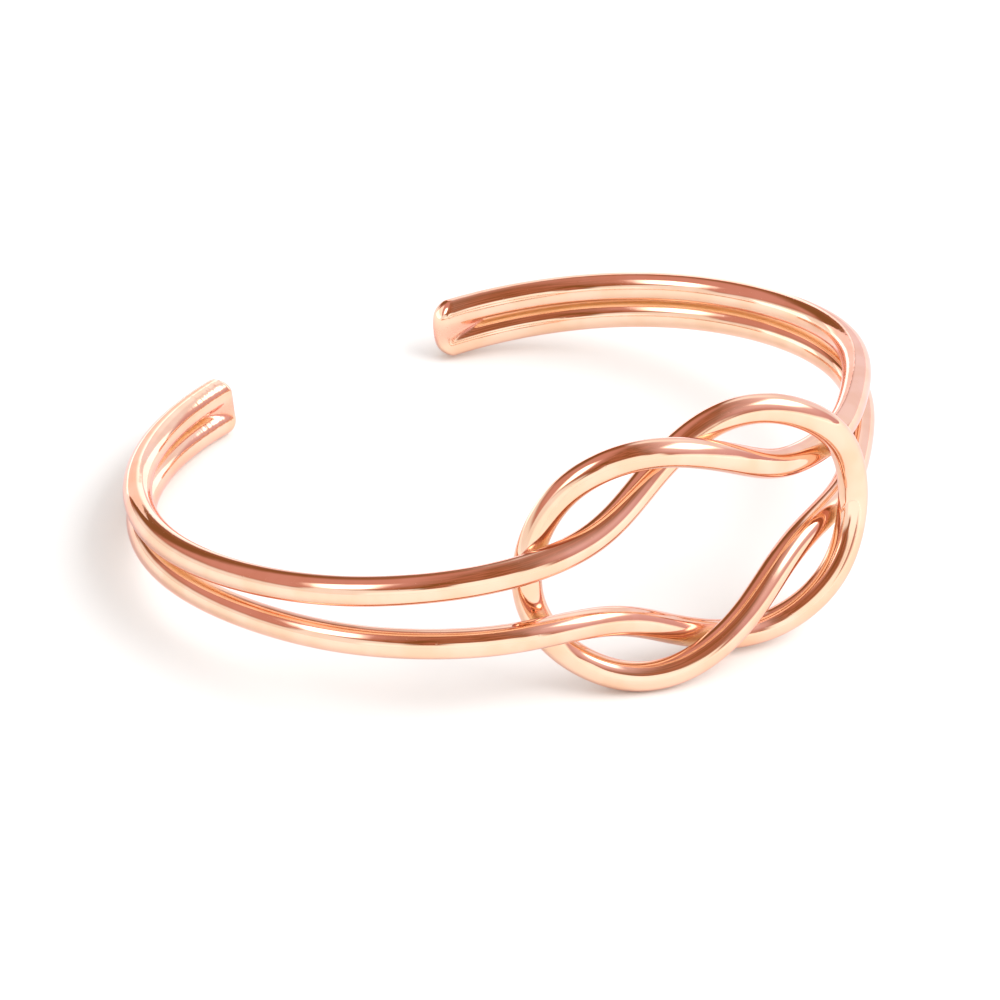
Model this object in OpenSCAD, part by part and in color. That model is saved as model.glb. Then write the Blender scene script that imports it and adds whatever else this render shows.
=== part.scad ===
// Knot bangle: two bent wires hooked through each other as a flat square knot.
// Each wire goes out from its terminal, bends round in the knot and comes back beside itself.
// The bangle lies on its side: the wrist goes through along Z, the knot is at the front, at -Y.

/* [Wire] */
// Diameter of the round wire
wire_d = 2.5; // [1.8:0.1:2.7]
// Air left between the two wires where they cross
crossing_gap = 0.1; // [0.05:0.05:0.3]

/* [Bangle] */
// Length of one arm along its curve, from the middle of the knot to the tip of the terminal
arm_len = 81.9; // [75:0.1:85]
// Distance along the curve from the middle of the knot to where the arm leaves it
knot_edge = 17.5; // [16.5:0.5:18.5]
// How far the tip of the right arm is sprung down from wear
right_tip_drop = 0.9; // [0:0.1:1.5]

/* [Knot] */
// Length of the knot, from the outside of one bend to the outside of the other
knot_len = 32.8; // [31.6:0.2:35]
// Height of the knot, over both wires
knot_h = 21.4; // [20:0.2:24]

/* [Terminal] */
// Length over which solder fills the groove between the two wire ends
solder_len = 5; // [3:0.5:7]

/* [Smoothness] */
// Sides of the wire
wire_sides = 16; // [12:4:20]
// Rings of the wire for each row of its route
rings_per_row = 4; // [3:1:5]

/* [Hidden] */
metal = [0.86, 0.58, 0.48];
wire_r = wire_d / 2;
// Columns of every row: distance or place along the curve, height, depth outwards
ALONG = 0;
HIGH = 1;
OUT = 2;

// Plan of the bangle: radius of its curve at distances from the middle of the knot.
// It is nearly flat across the knot, turns sharply beside it and then runs round the wrist.
plan_radii = [
    // distance, radius
    [0, 76],
    [12, 42],
    [18, 16],
    [24, 36],
    [40, 24],
    [80, 28],
];
plan_step = 0.5;
plan_front = -25;
plan_steps = ceil((arm_len + wire_d) / plan_step);
bends = [for (row = plan_radii) [row[0], 1 / row[1]]];
headings = [
    for (i = 0, a = 0; i <= plan_steps; a = a + turn_at(i), i = i + 1)
        [i * plan_step, a]
];
plan_x = [
    for (i = 0, x = 0; i <= plan_steps; x = x + plan_step * cos(mid_heading(i)), i = i + 1)
        [i * plan_step, x]
];
plan_y = [
    for (i = 0, y = plan_front; i <= plan_steps; y = y + plan_step * sin(mid_heading(i)), i = i + 1)
        [i * plan_step, y]
];

// Rows of one leg along the arm, evenly spaced from the terminal to the knot.
// The two legs lie together for most of the arm and open towards the knot.
arm_rows = [
    // gap between the two wires, depth as a share of a crossing
    [0.2, 0],
    [0.05, 0],
    [0.05, 0],
    [0.1, 0],
    [0.8, 0],
    [1.9, -1.1],
    [3.1, -0.65],
];
// Rows of the same leg through the knot, to the middle of the bend.
// It passes over the other wire at the middle of the knot and under it beside both bends.
knot_rows = [
    // along as a share of the reach, height as a share of the rise, depth as a share of a crossing
    [0.58, 0.33, 0.1],
    [0.19, 0.72, 1.23],
    [-0.17, 0.99, 0.89],
    [-0.49, 1, -0.26],
    [-0.76, 0.74, -1.69],
    [-0.94, 0.37, -1.68],
    [-1, 0, -1.59],
];
crossing_depth = (wire_d + crossing_gap) / 2;
// Distance from the middle of the knot at which the right arm starts to dip
drop_from = 57;
// The smooth curve runs a little inside its rows: the shares of their reach and rise that it has
reach_share = 0.98;
rise_share = 0.96;
knot_reach = (knot_len - wire_d) / 2 / reach_share;
knot_rise = (knot_h - wire_d) / 2 / rise_share;

arm_last = len(arm_rows) - 1;
upper_rows = concat(
    [for (i = [0 : arm_last]) [
        arm_len + (knot_edge - arm_len) * i / arm_last,
        (wire_d + arm_rows[i][0]) / 2,
        arm_rows[i][1] * crossing_depth
    ]],
    [for (row = knot_rows) [
        row[ALONG] * knot_reach,
        row[HIGH] * knot_rise,
        row[OUT] * crossing_depth
    ]]
);
bend_row = len(upper_rows) - 1;
// The lower leg repeats the upper one below the middle plane
lower_rows = [for (i = [bend_row - 1 : -1 : 0]) below(upper_rows[i])];
wire_rows = concat(upper_rows, lower_rows);
spans = len(wire_rows) - 1;
rings = spans * rings_per_row;
right_route = [for (i = [0 : rings]) smooth_point(wire_rows, i / rings_per_row)];
left_route = [for (p = right_route) half_turn(p)];

// Solder between the two tips: its section at distances from the tip
solder_rows = [
    // distance as a share of the filled length, half thickness as a share of the wire's radius,
    // half height as a share of the wires' half spacing
    [0.01, 0.4, 0.5],
    [0.06, 0.75, 0.9],
    [0.2, 0.9, 1.1],
    [0.6, 0.6, 1.1],
    [1, 0.12, 1.1],
];
tip_rings = 4;

right_points = wire_points(right_route);
left_points = wire_points(left_route);

// How it rests: on the tips of both arms and on the knot's lowest bend, which is lower than the
// arms. It is rolled until the tips are level, then tilted by the slope of a floor that touches
// the tips and the knot from below.
rest_route = [
    for (p = concat(right_route, left_route))
        if (abs(p[ALONG]) < arm_len - wire_r && p[HIGH] < 0) on_bangle(p)
];
right_tip = on_bangle(right_route[0]);
left_tip = on_bangle(left_route[0]);
rest_roll = atan((right_tip.z - left_tip.z) / (right_tip.x - left_tip.x));
front_points = [for (p = rest_route) if (p.y < 0) rolled(p)];
back_points = [for (p = rest_route) if (p.y > 0) rolled(p)];
rest_tilt = atan(min([
    for (b = back_points) max([for (f = front_points) (b.z - f.z) / (b.y - f.y)])
]));
rested = [for (p = concat(right_points, left_points)) tilted(rolled(p))];
rested_x = [for (p = rested) p.x];
rested_y = [for (p = rested) p.y];
rested_z = [for (p = rested) p.z];
rest_place = [
    -(min(rested_x) + max(rested_x)) / 2,
    -(min(rested_y) + max(rested_y)) / 2,
    -min(rested_z)
];

function rolled(p) =
    [p.x * cos(rest_roll) + p.z * sin(rest_roll), p.y, p.z * cos(rest_roll) - p.x * sin(rest_roll)];
function tilted(p) =
    [p.x, p.y * cos(rest_tilt) + p.z * sin(rest_tilt), p.z * cos(rest_tilt) - p.y * sin(rest_tilt)];

// Degrees that the curve turns in one step
function turn_at(i) = lookup((i + 0.5) * plan_step, bends) * plan_step * 180 / PI;
function mid_heading(i) = headings[i][1] + turn_at(i) / 2;
function heading(s) = sign(s) * lookup(abs(s), headings);
function outward(s) = [sin(heading(s)), -cos(heading(s)), 0];
function drop(s) = right_tip_drop * pow(max(0, (s - drop_from) / (arm_len - drop_from)), 2);
// A place on the bangle from its distance along the curve, height and depth
function on_bangle(p) =
    let (s = p[ALONG])
    [sign(s) * lookup(abs(s), plan_x), lookup(abs(s), plan_y), p[HIGH] - drop(s)]
    + p[OUT] * outward(s);

function below(row) = [row[ALONG], -row[HIGH], row[OUT]];
// The left wire is the right one turned half round the upright axis of the knot
function half_turn(row) = [-row[ALONG], row[HIGH], -row[OUT]];

// A row of the route, with one more past each end in line with the last two
function row_at(rows, i) =
    i < 0 ? 2 * rows[0] - rows[1]
    : i > len(rows) - 1 ? 2 * rows[len(rows) - 1] - rows[len(rows) - 2]
    : rows[i];
// Smooth curve led by the rows (uniform cubic B-spline), u counts rows
function smooth_point(rows, u) =
    let (i = min(floor(u), len(rows) - 2), t = u - i)
    (pow(1 - t, 3) * row_at(rows, i - 1)
        + (3 * pow(t, 3) - 6 * pow(t, 2) + 4) * row_at(rows, i)
        + (-3 * pow(t, 3) + 3 * pow(t, 2) + 3 * t + 1) * row_at(rows, i + 1)
        + pow(t, 3) * row_at(rows, i + 2)) / 6;

function unit(v) = v / norm(v);
function direction(points, i) =
    unit(points[min(i + 1, len(points) - 1)] - points[max(i - 1, 0)]);
// One ring of the wire: across is the outward direction, squared to the wire's own
function ring(centre, along, out, radius) =
    let (across = unit(out - (out * along) * along), up = cross(along, across))
    [for (k = [0 : wire_sides - 1])
        let (a = 360 * k / wire_sides)
        centre + radius * (cos(a) * across + sin(a) * up)];
// Rings of a round tip, from next to its pole to full size; inward points into the wire
function tip(pole, inward, along, out) = [
    for (k = [1 : tip_rings])
        let (a = 90 * k / tip_rings)
        ring(pole + wire_r * (1 - cos(a)) * inward, along, out, wire_r * sin(a))
];
function reversed(list) = [for (i = [len(list) - 1 : -1 : 0]) list[i]];
function joined(lists) = [for (list = lists) for (item = list) item];

// Skin of a stack of rings with as many points each, closed by a point at each end
function skin(count, sides) = concat(
    [for (k = [0 : sides - 1]) [0, 1 + k, 1 + (k + 1) % sides]],
    joined([for (i = [0 : count - 2]) for (k = [0 : sides - 1])
        let (
            a = 1 + i * sides + k,
            b = 1 + i * sides + (k + 1) % sides
        )
        [[a, b + sides, b], [a, a + sides, b + sides]]]),
    [for (k = [0 : sides - 1])
        let (last = 1 + (count - 1) * sides)
        [last + sides, last + (k + 1) % sides, last + k]]
);

// Skin points of one wire from tip to tip, its poles first and last
function wire_points(route) =
    let (
        line = [for (p = route) on_bangle(p)],
        last = len(line) - 1,
        first_way = direction(line, 0),
        last_way = direction(line, last),
        stack = concat(
            tip(line[0], first_way, first_way, outward(route[0][ALONG])),
            [for (i = [1 : last - 1])
                ring(line[i], direction(line, i), outward(route[i][ALONG]), wire_r)],
            reversed(tip(line[last], -last_way, last_way, outward(route[last][ALONG])))
        )
    )
    concat([line[0]], joined(stack), [line[last]]);

module wire(points) {
    polyhedron(points, skin((len(points) - 2) / wire_sides, wire_sides));
}

// Wedge of solder in the groove between the two tips of one loop
module solder(route) {
    tip_along = route[0][ALONG];
    tip_high = route[0][HIGH];
    side = sign(tip_along);
    // Corners of a section as signs of its depth and height, in order round the wedge
    corners = [[1, -1], [1, 1], [-1, 1], [-1, -1]];
    sections = [
        for (row = solder_rows) [
            for (corner = corners) on_bangle([
                tip_along - side * row[0] * solder_len,
                corner[1] * row[2] * tip_high,
                side * corner[0] * row[1] * wire_r
            ])
        ]
    ];
    polyhedron(
        concat(
            [on_bangle([tip_along, 0, 0])],
            joined(sections),
            [on_bangle([tip_along - side * solder_len, 0, 0])]
        ),
        skin(len(sections), len(corners))
    );
}

// Lays the bangle down on its side as it rests, with the middle of its box over the origin
module at_rest() {
    translate(rest_place)
        rotate([-rest_tilt, 0, 0])
            rotate([0, rest_roll, 0])
                children();
}

// Wire of the left arm, whose bend is the right end of the knot
module left_loop() {
    color(metal)
        at_rest()
            union() {
                wire(left_points);
                solder(left_route);
            }
}

// Wire of the right arm, whose bend is the left end of the knot
module right_loop() {
    color(metal)
        at_rest()
            union() {
                wire(right_points);
                solder(right_route);
            }
}

left_loop();
right_loop();
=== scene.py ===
import bisect
import bmesh
import bpy
import math
from mathutils import Matrix, Vector
from mathutils.bvhtree import BVHTree


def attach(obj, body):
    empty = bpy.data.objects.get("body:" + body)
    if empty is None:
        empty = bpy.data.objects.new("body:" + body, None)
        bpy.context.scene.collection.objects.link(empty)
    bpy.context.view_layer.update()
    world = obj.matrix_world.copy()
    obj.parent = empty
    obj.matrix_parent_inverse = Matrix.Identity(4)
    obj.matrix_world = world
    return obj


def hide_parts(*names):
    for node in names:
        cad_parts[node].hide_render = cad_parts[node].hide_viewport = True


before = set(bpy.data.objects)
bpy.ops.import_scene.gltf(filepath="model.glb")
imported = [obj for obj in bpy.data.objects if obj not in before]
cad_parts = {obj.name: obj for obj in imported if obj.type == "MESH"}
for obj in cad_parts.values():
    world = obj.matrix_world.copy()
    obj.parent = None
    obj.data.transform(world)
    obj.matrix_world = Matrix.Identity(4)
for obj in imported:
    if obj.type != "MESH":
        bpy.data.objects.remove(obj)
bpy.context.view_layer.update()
mm = 0.001

cameraSet = {
    "azimuth": -37.18,      # degrees, 0 looks along +Y
    "elevation": 31.15,
    "roll": 2.19,
    "distance": 592.9,      # mm
    "aim": (-0.46, 1.9, 2.04),
    "lens": 257.16,
    "sensorWidth": 36,
    "clip": (0.01, 20),     # metres
}


def makeCamera(size):
    turn = math.radians(size["azimuth"])
    rise = math.radians(size["elevation"])
    level = Vector((math.cos(turn), math.sin(turn), 0))
    back = Vector((
        math.sin(turn) * math.cos(rise),
        -math.cos(turn) * math.cos(rise),
        math.sin(rise),
    ))
    upright = back.cross(level)
    roll = math.radians(size["roll"])
    right = math.cos(roll) * level + math.sin(roll) * upright
    up = back.cross(right)
    lens = bpy.data.cameras.new("photoCamera")
    lens.lens = size["lens"]
    lens.sensor_width = size["sensorWidth"]
    lens.clip_start, lens.clip_end = size["clip"]
    camera = bpy.data.objects.new("photoCamera", lens)
    bpy.context.scene.collection.objects.link(camera)
    place = (Vector(size["aim"]) + size["distance"] * back) * mm
    facing = Matrix((right, up, back)).transposed().to_4x4()
    camera.matrix_world = Matrix.Translation(place) @ facing
    bpy.context.scene.camera = camera


makeCamera(cameraSet)
print("camera set")

# All sizes of the bangle are in millimetres
bangle = {
    "wireDiameter": 2.5,
    "polishedAway": 0.033,   # keeps the round wire inside the CAD model's flat-sided one
    "crossingGap": 0.1,
    "armLength": 81.9,       # middle of the knot to the tip, along the curve
    "knotEdge": 17.5,        # where an arm leaves the knot
    "knotLength": 32.8,
    "knotHeight": 21.4,
    "rightTipDrop": 0.9,
    "dropFrom": 57,          # along the arm, as its length is
    "dropPower": 2,
    "planFront": -25,        # y of the middle of the knot before the bangle is centred
    "planStep": 0.05,
    # distance from the middle of the knot, radius of the plan there
    "planRadii": [(0, 76), (12, 42), (18, 16), (24, 36), (40, 24), (80, 28)],
    # gap between the two wires of an arm, depth as a share of a crossing
    "armRows": [(0.2, 0), (0.05, 0), (0.05, 0), (0.1, 0), (0.8, 0), (1.9, -1.1), (3.1, -0.65)],
    # place, height and depth through the knot as shares of its reach, rise and crossing
    "knotRows": [
        (0.58, 0.33, 0.1),
        (0.19, 0.72, 1.23),
        (-0.17, 0.99, 0.89),
        (-0.49, 1, -0.26),
        (-0.76, 0.74, -1.69),
        (-0.94, 0.37, -1.68),
        (-1, 0, -1.59),
    ],
    "reachShare": 0.98,      # the smooth curve runs this far inside its rows
    "riseShare": 0.96,
    "stepsPerRow": 40,       # for measuring the length of the curve
    "sides": 64,
    "ringSpacing": 0.35,
}
wireRadius = bangle["wireDiameter"] / 2 - bangle["polishedAway"]

terminal = {
    "rounding": 1.14,        # of the whole end, over both wires
    "roundingRings": 12,
    "web": 0.8,              # half thickness of the solder, as a share of the wire's radius
    "webPower": 2.5,         # the higher, the later it thins out along the arm
    "tipWeb": 0.17,          # what the very end has more
    "tipFade": 0.8,
    "upperSlope": 0.85,      # how far the end falls back over the upper wire
    "slopePower": 2.5,       # the higher, the flatter the end between its edges
    "slopeFade": 2,
    "rightLoopWire": {"solderLength": 4.6, "lowerSlope": 0.8},
    "leftLoopWire": {"solderLength": 3.7, "lowerSlope": 0.25},
}


def lookUp(table, x):
    # straight lines between the (x, value) pairs of a table
    i = min(max(bisect.bisect_right(table, (x, math.inf)) - 1, 0), len(table) - 2)
    (x0, v0), (x1, v1) = table[i], table[i + 1]
    return v0 + (v1 - v0) * min(max((x - x0) / (x1 - x0), 0), 1)


def drawPlan(size):
    # heading and place along the plan, added up in small steps from the middle of the knot
    step = size["planStep"]
    bends = [(distance, 1 / radius) for distance, radius in size["planRadii"]]
    heading, x, y = 0, 0, size["planFront"]
    headings, places = [heading], [(x, y)]
    for i in range(math.ceil((size["armLength"] + size["wireDiameter"]) / step)):
        turn = lookUp(bends, (i + 0.5) * step) * step
        x += step * math.cos(heading + turn / 2)
        y += step * math.sin(heading + turn / 2)
        heading += turn
        headings.append(heading)
        places.append((x, y))
    return headings, places


planHeadings, planPlaces = drawPlan(bangle)


def alongPlan(distance):
    # (x, y, heading) at a distance along the curve, negative on the left arm
    steps = abs(distance) / bangle["planStep"]
    i = int(steps)
    t = steps - i
    side = math.copysign(1, distance)
    x = planPlaces[i][0] * (1 - t) + planPlaces[i + 1][0] * t
    y = planPlaces[i][1] * (1 - t) + planPlaces[i + 1][1] * t
    return side * x, y, side * (planHeadings[i] * (1 - t) + planHeadings[i + 1] * t)


def outwardAt(distance):
    heading = alongPlan(distance)[2]
    return Vector((math.sin(heading), -math.cos(heading), 0))


def onBangle(row):
    along, high, out = row
    x, y, heading = alongPlan(along)
    share = max(0, (along - bangle["dropFrom"]) / (bangle["armLength"] - bangle["dropFrom"]))
    drop = bangle["rightTipDrop"] * share ** bangle["dropPower"]
    return Vector((x, y, high - drop)) + out * outwardAt(along)


def wireRows(size):
    # rows of (along, high, out) of the right wire: upper tip, bend, lower tip
    crossing = (size["wireDiameter"] + size["crossingGap"]) / 2
    reach = (size["knotLength"] - size["wireDiameter"]) / 2 / size["reachShare"]
    rise = (size["knotHeight"] - size["wireDiameter"]) / 2 / size["riseShare"]
    steps = len(size["armRows"]) - 1
    upper = [
        (
            size["armLength"] + (size["knotEdge"] - size["armLength"]) * i / steps,
            (size["wireDiameter"] + gap) / 2,
            out * crossing,
        )
        for i, (gap, out) in enumerate(size["armRows"])
    ]
    upper += [(along * reach, high * rise, out * crossing) for along, high, out in size["knotRows"]]
    lower = [(along, -high, out) for along, high, out in upper[-2::-1]]
    return upper + lower


def smoothRow(rows, u):
    # uniform cubic B-spline led by the rows, that starts and ends on the first and last of them
    i = min(int(u), len(rows) - 2)
    t = u - i
    before = rows[i - 1] if i > 0 else [2 * a - b for a, b in zip(rows[0], rows[1])]
    after = rows[i + 2] if i + 2 < len(rows) else [2 * a - b for a, b in zip(rows[-1], rows[-2])]
    weights = (
        (1 - t) ** 3,
        3 * t ** 3 - 6 * t ** 2 + 4,
        -3 * t ** 3 + 3 * t ** 2 + 3 * t + 1,
        t ** 3,
    )
    return [
        sum(w * value for w, value in zip(weights, column)) / 6
        for column in zip(before, rows[i], rows[i + 1], after)
    ]


def halfTurn(rows):
    # the left wire is the right one turned half round the knot's upright axis
    return [(-along, high, -out) for along, high, out in rows]


def routeWire(rows, size, end):
    # rows of the smooth curve at even distances, closer in the rounding of both ends
    fine = size["stepsPerRow"]
    last = (len(rows) - 1) * fine
    curve = [onBangle(smoothRow(rows, i / fine)) for i in range(last + 1)]
    lengths = [(0.0, 0.0)]
    for i in range(last):
        lengths.append((lengths[-1][0] + (curve[i + 1] - curve[i]).length, (i + 1) / fine))
    whole = lengths[-1][0]
    rounding = end["rounding"]
    rings = end["roundingRings"]
    tip = [rounding * (1 - math.cos(math.pi / 2 * i / rings)) for i in range(rings)]
    count = round((whole - 2 * rounding) / size["ringSpacing"])
    middle = [rounding + (whole - 2 * rounding) * i / count for i in range(count + 1)]
    distances = tip + middle + [whole - d for d in reversed(tip)]
    return [smoothRow(rows, lookUp(lengths, d)) for d in distances]


rightRows = wireRows(bangle)
rightRoute = routeWire(rightRows, bangle, terminal)
leftRoute = routeWire(halfTurn(rightRows), bangle, terminal)


def restingTurn(routes, size):
    # the bangle lies on both tips and on the knot's lowest bend: it is rolled until the tips are
    # level, then tilted until the knot is as low as they are
    rightTip, leftTip = onBangle(routes[0][0]), onBangle(routes[1][0])
    roll = Matrix.Rotation(math.atan((rightTip.z - leftTip.z) / (rightTip.x - leftTip.x)), 4, "Y")
    lowest = [
        roll @ onBangle(row)
        for route in routes
        for row in route
        if row[1] < 0 and abs(row[0]) < size["armLength"] - wireRadius
    ]
    front = [p for p in lowest if p.y < 0]
    behind = [p for p in lowest if p.y > 0]
    slope = min(max((b.z - f.z) / (b.y - f.y) for f in front) for b in behind)
    return Matrix.Rotation(-math.atan(slope), 4, "X") @ roll


restTurn = restingTurn((rightRoute, leftRoute), bangle)
print("route drawn:", len(rightRoute), "rings a wire")


def routeMesh(name, route):
    # a line of points with the outward direction of each, squared to the wire
    points = [restTurn @ onBangle(row) for row in route]
    outs = []
    for i, row in enumerate(route):
        before = (points[i] - points[max(i - 1, 0)]).normalized()
        after = (points[min(i + 1, len(points) - 1)] - points[i]).normalized()
        along = (before + after).normalized()
        out = restTurn.to_3x3() @ outwardAt(row[0])
        outs.append((out - out.dot(along) * along).normalized())
    mesh = bpy.data.meshes.new(name)
    mesh.from_pydata([p * mm for p in points], [(i, i + 1) for i in range(len(points) - 1)], [])
    outward = mesh.attributes.new("outward", "FLOAT_VECTOR", "POINT")
    outward.data.foreach_set("vector", [value for out in outs for value in out])
    return mesh, points, outs


def wireTree():
    # a round wire that follows a line of points
    tree = bpy.data.node_groups.new("bentWire", "GeometryNodeTree")
    sockets = tree.interface
    sockets.new_socket("Route", in_out="INPUT", socket_type="NodeSocketGeometry")
    sockets.new_socket("Wire Radius", in_out="INPUT", socket_type="NodeSocketFloat")
    sockets.new_socket("Sides", in_out="INPUT", socket_type="NodeSocketInt")
    sockets.new_socket("Metal", in_out="INPUT", socket_type="NodeSocketMaterial")
    sockets.new_socket("Wire", in_out="OUTPUT", socket_type="NodeSocketGeometry")
    nodes, links = tree.nodes, tree.links

    def add(kind, x, y=0, **settings):
        node = nodes.new(kind)
        node.location = (x, y)
        for key, value in settings.items():
            setattr(node, key, value)
        return node

    given = add("NodeGroupInput", -1800)
    line = add("GeometryNodeMeshToCurve", -1600)
    outward = add("GeometryNodeInputNamedAttribute", -1200, -200, data_type="FLOAT_VECTOR")
    outward.inputs["Name"].default_value = "outward"
    facing = add("GeometryNodeSetCurveNormal", -1000, mode="FREE")
    length = add("GeometryNodeSplineParameter", -1400, -250)
    whole = add("GeometryNodeSplineLength", -1400, -400)
    half = add("ShaderNodeMath", -1200, -400, operation="MULTIPLY")
    half.inputs[1].default_value = 0.5
    fromTip = add("ShaderNodeMath", -1000, -250, operation="PINGPONG")
    keepLength = add("GeometryNodeCaptureAttribute", -800, domain="POINT")
    keepLength.capture_items.new("FLOAT", "Length")
    circle = add("GeometryNodeCurvePrimitiveCircle", -1000, -450, mode="RADIUS")
    section = add("GeometryNodeInputPosition", -1000, -650)
    keepSection = add("GeometryNodeCaptureAttribute", -800, -450, domain="POINT")
    keepSection.capture_items.new("VECTOR", "Section")
    tube = add("GeometryNodeCurveToMesh", -560)
    across = add("ShaderNodeSeparateXYZ", -560, -300)
    straight = add("ShaderNodeCombineXYZ", -360, -300)
    store = add("GeometryNodeStoreNamedAttribute", -160, data_type="FLOAT_VECTOR", domain="POINT")
    store.inputs["Name"].default_value = "straightWire"
    smooth = add("GeometryNodeSetShadeSmooth", 40)
    real = add("GeometryNodeRealizeInstances", 240)
    metal = add("GeometryNodeSetMaterial", 440)
    made = add("NodeGroupOutput", 640)

    links.new(given.outputs["Route"], line.inputs["Mesh"])
    links.new(line.outputs["Curve"], facing.inputs["Curve"])
    links.new(outward.outputs["Attribute"], facing.inputs["Normal"])
    links.new(facing.outputs["Curve"], keepLength.inputs["Geometry"])
    links.new(whole.outputs["Length"], half.inputs[0])
    links.new(length.outputs["Length"], fromTip.inputs[0])
    links.new(half.outputs["Value"], fromTip.inputs[1])
    links.new(fromTip.outputs["Value"], keepLength.inputs["Length"])
    links.new(given.outputs["Sides"], circle.inputs["Resolution"])
    links.new(given.outputs["Wire Radius"], circle.inputs["Radius"])
    links.new(circle.outputs["Curve"], keepSection.inputs["Geometry"])
    links.new(section.outputs["Position"], keepSection.inputs["Section"])
    links.new(keepLength.outputs["Geometry"], tube.inputs["Curve"])
    links.new(keepSection.outputs["Geometry"], tube.inputs["Profile Curve"])
    links.new(keepSection.outputs["Section"], across.inputs["Vector"])
    links.new(across.outputs["X"], straight.inputs["X"])
    links.new(across.outputs["Y"], straight.inputs["Y"])
    links.new(keepLength.outputs["Length"], straight.inputs["Z"])
    links.new(tube.outputs["Mesh"], store.inputs["Geometry"])
    links.new(straight.outputs["Vector"], store.inputs["Value"])
    links.new(store.outputs["Geometry"], smooth.inputs["Geometry"])
    links.new(smooth.outputs["Geometry"], real.inputs["Geometry"])
    links.new(real.outputs["Geometry"], metal.inputs["Geometry"])
    links.new(given.outputs["Metal"], metal.inputs["Material"])
    links.new(metal.outputs["Geometry"], made.inputs["Wire"])
    return tree


def setInputs(modifier, tree, values):
    for item in tree.interface.items_tree:
        if item.item_type == "SOCKET" and item.in_out == "INPUT" and item.name in values:
            modifier[item.identifier] = values[item.name]


def bendWire(name, route, tree, metal):
    mesh, points, outs = routeMesh(name + "Line", route)
    line = bpy.data.objects.new(name + "Line", mesh)
    bpy.context.scene.collection.objects.link(line)
    modifier = line.modifiers.new("bentWire", "NODES")
    modifier.node_group = tree
    values = {"Wire Radius": wireRadius * mm, "Sides": bangle["sides"], "Metal": metal}
    setInputs(modifier, tree, values)
    evaluated = line.evaluated_get(bpy.context.evaluated_depsgraph_get())
    wire = bpy.data.meshes.new_from_object(evaluated)
    wire.name = name
    bpy.data.objects.remove(line)
    return wire, points, outs


def legVertices(rings, ring, centres):
    # the ring's vertices by their place j: 0 faces the other wire, places above 0 follow on the
    # outside of the bangle and places below 0 on its inside
    circle = rings[ring]
    n = len(circle)
    partner = centres[len(rings) - 1 - ring]
    low, high = circle[n // 4], circle[3 * n // 4]
    if (low.co - partner).length < (high.co - partner).length:
        return lambda j: circle[(n // 4 - j) % n]
    return lambda j: circle[(3 * n // 4 + j) % n]


def solderedRings(points, solderLength):
    # distance from the tip of every ring that the solder holds
    distances = []
    distance = 0
    while distance < solderLength:
        distances.append(distance)
        ring = len(distances)
        distance += (points[ring] - points[ring - 1]).length
    return distances


def shapeRing(legs, near, far, out, back, distance, size, soldered):
    # lays the rings of both wires round the section that they share at a distance from the tip: the
    # solder's surface is an arc, the fillet, that meets each wire at the angle touch
    half = bangle["sides"] // 2
    middle, spacing = (near + far) / 2, (near - far).length / 2
    rounding = size["rounding"]
    inset = 0
    if distance < rounding:
        inset = rounding - math.sqrt(rounding ** 2 - (rounding - distance) ** 2)
    web = size["web"] * (1 - (distance / size["solderLength"]) ** size["webPower"])
    neck = wireRadius * (web + size["tipWeb"] * math.exp(-distance / size["tipFade"]))
    fillet = (neck ** 2 + spacing ** 2 - wireRadius ** 2) / (2 * (wireRadius - neck))
    centre = neck + fillet
    touch = math.atan2(centre, spacing)
    bend = math.pi / 2 - touch
    fade = (1 - distance / size["solderLength"]) ** size["slopeFade"]
    for leg, own, other in ((legs[0], near, far), (legs[1], far, near)):
        facing = (other - own).normalized()
        slope = fade * size["upperSlope" if own.z > other.z else "lowerSlope"]
        for j in range(-half + 1, half + 1):
            side = math.copysign(1, j)
            angle = abs(j) * math.pi / half
            if angle >= touch:
                toSurface = side * math.sin(angle) * out + math.cos(angle) * facing
                place = own + (wireRadius - inset) * toSurface
            else:
                turn = bend * angle / touch
                place = middle + side * (centre - (fillet + inset) * math.cos(turn)) * out
                place -= (fillet + inset) * math.sin(turn) * facing
                leg(j)[soldered] = 1 - (angle / touch) ** 2
            share = abs((place - middle).dot(facing)) / (spacing + wireRadius)
            leg(j).co = (place + slope * share ** size["slopePower"] * back) * mm
    for leg, side in ((legs[0], 1), (legs[1], -1)):
        leg(0).co = (middle + side * (neck - inset) * out) * mm
        leg(0)[soldered] = 1


def weldLegs(bm, legs):
    # both wires share the two lines of vertices along the solder's middle, up to where it ends
    last = len(legs) - 2
    for i in range(last + 1):
        (a, b), (c, d) = legs[i], legs[i + 1]
        for near, nearNext, far, farNext, side in ((a, c, b, d, -1), (b, d, a, c, 1)):
            bm.faces.remove(bm.faces.get((near(0), near(side), nearNext(side), nearNext(0))))
            inner = nearNext(0) if i == last else farNext(0)
            bm.faces.new((far(0), near(side), nearNext(side), inner)).smooth = True
    bm.faces.new((c(0), a(0), d(0), b(0))).smooth = True


def closeTip(bm, legs):
    # strips of faces over the end, down from the solder's middle on each wire
    a, b = legs
    half = bangle["sides"] // 2
    for leg in legs:
        rows = [(a(0), b(0))] + [(leg(j), leg(-j)) for j in range(1, half)]
        for (right, left), (nextRight, nextLeft) in zip(rows, rows[1:]):
            bm.faces.new((right, nextRight, nextLeft, left)).smooth = True
        bm.faces.new((rows[-1][0], leg(half), rows[-1][1])).smooth = True


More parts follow.
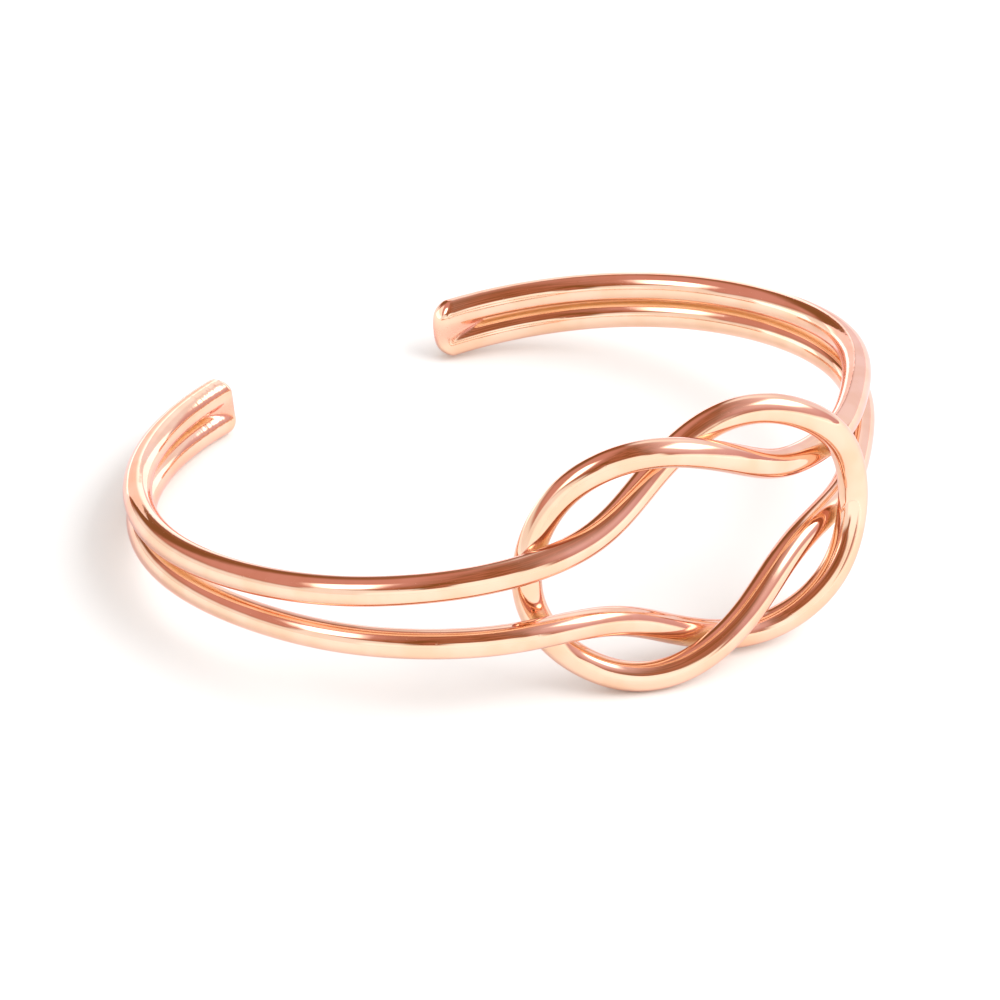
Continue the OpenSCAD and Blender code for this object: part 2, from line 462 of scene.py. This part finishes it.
def solderTip(bm, rings, points, outs, size):
    # joins the two ends of a wire: solder fills their groove and one rounding goes over both
    centres = [p * mm for p in points]
    soldered = bm.verts.layers.float["soldered"]
    fused = solderedRings(points, size["solderLength"])
    legs = [
        [legVertices(rings, ring, centres) for ring in (i, len(rings) - 1 - i)]
        for i in range(len(fused) + 1)
    ]
    for i, distance in enumerate(fused):
        k = len(points) - 1 - i
        out = (outs[i] + outs[k]).normalized()
        back = ((points[i + 1] - points[i]) + (points[k - 1] - points[k])).normalized()
        shapeRing(legs[i], points[i], points[k], out, back, distance, size, soldered)
    weldLegs(bm, legs)
    closeTip(bm, legs[0])


def finishLoop(mesh, points, outs, size):
    n = bangle["sides"]
    bm = bmesh.new()
    bm.from_mesh(mesh)
    bm.verts.layers.float.new("soldered")
    bm.verts.ensure_lookup_table()
    rings = [[bm.verts[i * n + k] for k in range(n)] for i in range(len(points))]
    solderTip(bm, rings, points, outs, size | size[mesh.name])
    bmesh.ops.recalc_face_normals(bm, faces=bm.faces[:])
    bm.to_mesh(mesh)
    bm.free()


metal = {
    "pale": (0.935, 0.655, 0.49),    # the alloy clouds a little between these two
    "deep": (0.89, 0.59, 0.41),
    "groove": (1, 0.74, 0.47),       # painted reflection: the brighter gold that the wires throw on each other in the groove; the polishing wheel didn't reach there, which the roughness shows
    "solder": (0.93, 0.5, 0.37),
    "edgeTint": (0.93, 0.75, 0.8),
    "roughness": 0.045,
    # what each mark adds to the roughness
    "cloudRoughness": 0.03,
    "lineRoughness": 0.03,
    "pitRoughness": 0.1,
    "grooveRoughness": 0.45,
    "solderRoughness": 0.22,
    # where each mark begins and where it is complete, on a scale of 0 to 1
    "grooveRange": (0.18, 0.62),
    "cloudRange": (0.35, 0.65),
    "lineRange": (0.55, 0.7),
    "pitRange": (0.3, 0.24),
    # size of a feature, length along the wire or 0 for any direction, depth: all in mm
    "clouds": (3.5, 0, 0),
    "waviness": (3.2, 0, 0.022),
    "polishLines": (0.09, 5, 0.00035),
    "fileMarks": (5, 0.8, 0.075),    # across the wires near the left tip
    "filedWell": 3.5,                # mm from the tip, where the file marks begin to fade
    "filedTo": 8,
    "pits": (0.3, 0, 0.0012),
}


def makeMetal(plan):
    # polished rose gold with the marks of making it
    material = bpy.data.materials.new("roseGold")
    material.use_nodes = True
    nodes, links = material.node_tree.nodes, material.node_tree.links
    shader = nodes["Principled BSDF"]
    inSpace = nodes.new("ShaderNodeTexCoord").outputs["Object"]

    def stored(name, output):
        node = nodes.new("ShaderNodeAttribute")
        node.attribute_name = name
        return node.outputs[output]

    onWire = stored("straightWire", "Vector")
    sheltered = stored("sheltered", "Fac")
    soldered = stored("soldered", "Fac")

    def calculate(operation, *values):
        node = nodes.new("ShaderNodeMath")
        node.operation = operation
        for socket, value in zip(node.inputs, values):
            if isinstance(value, (int, float)):
                socket.default_value = value
            else:
                links.new(value, socket)
        return node.outputs["Value"]

    def grade(value, low, high):
        # from 0 at low to 1 at high
        node = nodes.new("ShaderNodeMapRange")
        node.interpolation_type = "SMOOTHSTEP"
        links.new(value, node.inputs["Value"])
        node.inputs["From Min"].default_value = low
        node.inputs["From Max"].default_value = high
        return node.outputs["Result"]

    def grain(name, detail=2):
        # noise of the size that the plan gives, drawn out along the wire if it has a length
        size, length, depth = plan[name]
        mapping = nodes.new("ShaderNodeMapping")
        mapping.label = name
        links.new(onWire if length else inSpace, mapping.inputs["Vector"])
        mapping.inputs["Scale"].default_value = [1 / (s * mm) for s in (size, size, length or size)]
        noise = nodes.new("ShaderNodeTexNoise")
        links.new(mapping.outputs["Vector"], noise.inputs["Vector"])
        noise.inputs["Scale"].default_value = 1
        noise.inputs["Detail"].default_value = detail
        return noise.outputs["Fac"], depth

    def mixColours(factor, first, second):
        node = nodes.new("ShaderNodeMix")
        node.data_type = "RGBA"
        links.new(factor, node.inputs["Factor"])
        for name, colour in (("A", first), ("B", second)):
            if isinstance(colour, tuple):
                node.inputs[name].default_value = (*colour, 1)
            else:
                links.new(colour, node.inputs[name])
        return node.outputs["Result"]

    place = nodes.new("ShaderNodeSeparateXYZ")
    links.new(onWire, place.inputs["Vector"])
    awayFromTip = grade(place.outputs["Z"], plan["filedWell"] * mm, plan["filedTo"] * mm)
    side = nodes.new("ShaderNodeSeparateXYZ")
    links.new(inSpace, side.inputs["Vector"])
    onLeft = grade(side.outputs["X"], 0, -mm)
    leftTip = calculate("MULTIPLY", calculate("SUBTRACT", 1, awayFromTip), onLeft)
    # the groove is rougher where the polish didn't reach, and its colour gets a painted reflection:
    # the brighter gold that the wires throw on each other
    groove = grade(sheltered, *plan["grooveRange"])
    clouds = grade(grain("clouds")[0], *plan["cloudRange"])
    colour = mixColours(groove, mixColours(clouds, plan["pale"], plan["deep"]), plan["groove"])
    colour = mixColours(soldered, colour, plan["solder"])
    links.new(colour, shader.inputs["Base Color"])

    lines, lineDepth = grain("polishLines", 4)
    pits, pitDepth = grain("pits", 1)
    pitted = grade(pits, *plan["pitRange"])
    lined = calculate("MULTIPLY", grade(lines, *plan["lineRange"]), awayFromTip)
    rough = plan["roughness"]
    for mark, share in (
        ("cloudRoughness", clouds),
        ("lineRoughness", lined),
        ("pitRoughness", pitted),
        ("grooveRoughness", groove),
        ("solderRoughness", soldered),
    ):
        rough = calculate("MULTIPLY_ADD", share, plan[mark], rough)
    links.new(rough, shader.inputs["Roughness"])

    height = calculate("MULTIPLY", pitted, -pitDepth)
    for name, mask in (("waviness", None), ("fileMarks", leftTip)):
        noise, depth = grain(name)
        share = calculate("MULTIPLY", noise, mask) if mask else noise
        height = calculate("MULTIPLY_ADD", share, depth, height)
    height = calculate("MULTIPLY_ADD", calculate("MULTIPLY", lines, awayFromTip), lineDepth, height)
    bump = nodes.new("ShaderNodeBump")
    links.new(height, bump.inputs["Height"])
    bump.inputs["Distance"].default_value = mm
    links.new(bump.outputs["Normal"], shader.inputs["Normal"])

    shader.inputs["Metallic"].default_value = 1
    shader.inputs["Specular Tint"].default_value = (*plan["edgeTint"], 1)
    return material


shelter = {
    "reach": 2.5,            # mm
    "slant": 50,             # degrees between the upright look and the ones around it
    "around": 8,
    "lift": 0.02,            # mm above the surface, where the looks start
}


def shelterWires(wires, size):
    # stores how much metal is close in front of each vertex: 0 in the open, 1 deep in a groove; it
    # makes the groove rougher and paints a reflection into the groove's colour
    places, faces = [], []
    for wire in wires:
        faces += [[len(places) + v for v in face.vertices] for face in wire.polygons]
        places += [vertex.co.copy() for vertex in wire.vertices]
    metalwork = BVHTree.FromPolygons(places, faces)
    reach = size["reach"] * mm
    lean = math.tan(math.radians(size["slant"]))
    turns = [2 * math.pi * i / size["around"] for i in range(size["around"])]
    for wire in wires:
        shares = []
        for vertex in wire.vertices:
            normal = vertex.normal
            side = normal.orthogonal().normalized()
            other = normal.cross(side)
            looks = [normal]
            looks += [normal + lean * (math.cos(a) * side + math.sin(a) * other) for a in turns]
            start = vertex.co + size["lift"] * mm * normal
            seen = 0
            for look in looks:
                distance = metalwork.ray_cast(start, look.normalized(), reach)[3]
                if distance is not None:
                    seen += 1 - distance / reach
            shares.append(seen / len(looks))
        sheltered = wire.attributes.new("sheltered", "FLOAT", "POINT")
        sheltered.data.foreach_set("value", shares)


def centreWires(wires):
    # over the origin, and down on the surface that the bangle lies on
    corners = [v.co for wire in wires for v in wire.vertices]
    low = Vector([min(c[i] for c in corners) for i in range(3)])
    high = Vector([max(c[i] for c in corners) for i in range(3)])
    place = Vector((-(low.x + high.x) / 2, -(low.y + high.y) / 2, -low.z))
    for wire in wires:
        wire.transform(Matrix.Translation(place))
    return place


tree = wireTree()
roseGold = makeMetal(metal)
loops = []
for name, route in (("rightLoopWire", rightRoute), ("leftLoopWire", leftRoute)):
    wire, points, outs = bendWire(name, route, tree, roseGold)
    finishLoop(wire, points, outs, terminal)
    loops.append(wire)
place = centreWires(loops)
shelterWires(loops, shelter)
for wire in loops:
    loop = bpy.data.objects.new(wire.name, wire)
    bpy.context.scene.collection.objects.link(loop)
    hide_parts("right_loop" if wire.name.startswith("right") else "left_loop")
    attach(loop, "root")
print("wires bent and moved by", tuple(round(x / mm, 4) for x in place), "mm")


studio = {
    "turn": 37.2,            # azimuth 0 is where the camera looks: so many degrees clockwise of +Y
    "ceiling": (0.25, 0.105, 0.03),
    "ceilingPatches": (0.5, 0.2, 0.13),
    "patchScale": 6,
    "patchRange": (0.38, 0.62),
    # name; azimuth, elevation, width, height, tilt and softness in degrees; red, green and blue
    "panels": [
        ("hazeLeft", -80, 46, 74, 60, 0, 24, (0.69, 0.34, 0.3)),
        ("darkCorner", -31, 22, 30, 26, 0, 14, (0.27, 0.12, 0.05)),
        ("wallRight", 87, 22, 80, 60, 0, 24, (0.72, 0.4, 0.42)),
        ("hazeRight", 67, 48, 90, 48, 0, 42, (1, 0.74, 0.8)),
        ("cardBehind", 23, 12, 56, 76, 0, 12, (1.02, 0.95, 1.02)),
        ("stripBehind", 9, 37, 26, 18, 0, 12, (1.25, 1.2, 1.25)),
        ("sillLeft", -92, -5, 104, 40, 0, 10, (1.04, 1.02, 1.02)),
        ("sillRight", 117, -5, 74, 26, 0, 10, (1.36, 1.36, 1.34)),
        ("cardLeft", -138, 8, 44, 44, 0, 8, (1.06, 1.04, 1.03)),
        ("cardNear", 176, -2, 80, 45, 0, 8, (1.36, 1.35, 1.34)),
        ("cardSide", 151, 10, 28, 32, 0, 8, (1.36, 1.35, 1.34)),
        ("cardTall", 167, 12, 34, 42, 0, 8, (1.36, 1.35, 1.34)),
        ("softboxLeft", -112, 46, 16, 27, -46, 13, (4, 4, 4)),
        ("softboxRight", 79, 45, 36, 24, 10, 14, (4, 4, 4)),
    ],
    "background": (1.05, 1.05, 1.05),
    # name; azimuth and elevation in degrees; distance, width and height in metres; watts; colour;
    # whether it is seen in the polish only
    "lamps": [
        ("keyLamp", 98, 40, 1.6, 1.4, 1.4, 24, (1, 1, 1), False),
        ("lowCard", -52, 13, 0.045, 0.034, 0.015, 0.0014, (1, 0.97, 0.98), True),
        ("endCard", 4, 13, 0.057, 0.042, 0.02, 0.0026, (1, 0.84, 0.9), True),
    ],
    "floor": (0.86, 0.85, 0.84),
    "floorSize": 3,          # metres from its middle to its edge
    "floorRoughness": 0.9,
    "floorShine": 0.1,
}


def skyward(azimuth, elevation):
    turn = math.radians(azimuth + studio["turn"])
    rise = math.radians(elevation)
    return Vector((
        math.sin(turn) * math.cos(rise),
        math.cos(turn) * math.cos(rise),
        math.sin(rise),
    ))


def makeStudio(plan):
    # soft panels round a dim warm room, seen only in the polish of the metal
    world = bpy.data.worlds.new("studio")
    world.use_nodes = True
    nodes, links = world.node_tree.nodes, world.node_tree.links
    nodes.clear()
    direction = nodes.new("ShaderNodeTexCoord").outputs["Generated"]

    def along(vector):
        dot = nodes.new("ShaderNodeVectorMath")
        dot.operation = "DOT_PRODUCT"
        links.new(direction, dot.inputs[0])
        dot.inputs[1].default_value = vector
        return dot.outputs["Value"]

    def calculate(operation, first, second=None):
        node = nodes.new("ShaderNodeMath")
        node.operation = operation
        links.new(first, node.inputs[0])
        if second is not None:
            links.new(second, node.inputs[1])
        return node.outputs["Value"]

    def fadeOut(value, size, softness):
        node = nodes.new("ShaderNodeMapRange")
        node.interpolation_type = "SMOOTHSTEP"
        links.new(calculate("ABSOLUTE", value), node.inputs["Value"])
        node.inputs["From Min"].default_value = math.radians(size + softness) / 2
        node.inputs["From Max"].default_value = math.radians(size - softness) / 2
        return node.outputs["Result"]

    patches = nodes.new("ShaderNodeTexNoise")
    links.new(direction, patches.inputs["Vector"])
    patches.inputs["Scale"].default_value = plan["patchScale"]
    room = nodes.new("ShaderNodeMix")
    room.data_type = "RGBA"
    room.label = "ceiling"
    spread = nodes.new("ShaderNodeMapRange")
    links.new(patches.outputs["Fac"], spread.inputs["Value"])
    for end, value in zip(("From Min", "From Max"), plan["patchRange"]):
        spread.inputs[end].default_value = value
    links.new(spread.outputs["Result"], room.inputs["Factor"])
    room.inputs["A"].default_value = (*plan["ceiling"], 1)
    room.inputs["B"].default_value = (*plan["ceilingPatches"], 1)
    seen = room.outputs["Result"]
    for name, azimuth, elevation, width, height, tilt, softness, light in plan["panels"]:
        centre = skyward(azimuth, elevation)
        right = Matrix.Rotation(math.radians(-tilt), 3, centre) @ skyward(azimuth + 90, 0)
        ahead = along(centre)
        across = calculate("ARCTAN2", along(right), ahead)
        upward = calculate("ARCTAN2", along(right.cross(centre)), ahead)
        wide, tall = fadeOut(across, width, softness), fadeOut(upward, height, softness)
        edge = calculate("MULTIPLY", wide, tall)
        mix = nodes.new("ShaderNodeMix")
        mix.data_type = "RGBA"
        mix.label = name
        links.new(edge, mix.inputs["Factor"])
        links.new(seen, mix.inputs["A"])
        mix.inputs["B"].default_value = (*light, 1)
        seen = mix.outputs["Result"]
    reflected = nodes.new("ShaderNodeBackground")
    links.new(seen, reflected.inputs["Color"])
    plain = nodes.new("ShaderNodeBackground")
    plain.inputs["Color"].default_value = (*plan["background"], 1)
    ray = nodes.new("ShaderNodeLightPath")
    choose = nodes.new("ShaderNodeMixShader")
    links.new(ray.outputs["Is Glossy Ray"], choose.inputs["Fac"])
    links.new(plain.outputs["Background"], choose.inputs[1])
    links.new(reflected.outputs["Background"], choose.inputs[2])
    output = nodes.new("ShaderNodeOutputWorld")
    links.new(choose.outputs["Shader"], output.inputs["Surface"])
    world.cycles.sampling_method = "NONE"
    bpy.context.scene.world = world


def makeLamps(plan):
    for name, azimuth, elevation, distance, *light, inPolish in plan["lamps"]:
        lamp = bpy.data.lights.new(name, "AREA")
        lamp.shape = "RECTANGLE"
        lamp.size, lamp.size_y, lamp.energy, lamp.color = light
        holder = bpy.data.objects.new(name, lamp)
        away = skyward(azimuth, elevation)
        facing = away.to_track_quat("Z", "Y").to_matrix().to_4x4()
        holder.matrix_world = Matrix.Translation(away * distance) @ facing
        holder.visible_glossy = inPolish
        holder.visible_diffuse = not inPolish
        holder.visible_camera = False
        bpy.context.scene.collection.objects.link(holder)


def makeFloor(plan):
    bm = bmesh.new()
    bmesh.ops.create_grid(bm, x_segments=1, y_segments=1, size=plan["floorSize"])
    mesh = bpy.data.meshes.new("floor")
    bm.to_mesh(mesh)
    bm.free()
    floor = bpy.data.objects.new("floor", mesh)
    bpy.context.scene.collection.objects.link(floor)
    material = bpy.data.materials.new("paleFloor")
    material.use_nodes = True
    shader = material.node_tree.nodes["Principled BSDF"]
    shader.inputs["Base Color"].default_value = (*plan["floor"], 1)
    shader.inputs["Roughness"].default_value = plan["floorRoughness"]
    shader.inputs["Specular IOR Level"].default_value = plan["floorShine"]
    mesh.materials.append(material)


makeStudio(studio)
makeLamps(studio)
makeFloor(studio)
bpy.context.scene.view_settings.view_transform = "Standard"
print("studio lit")
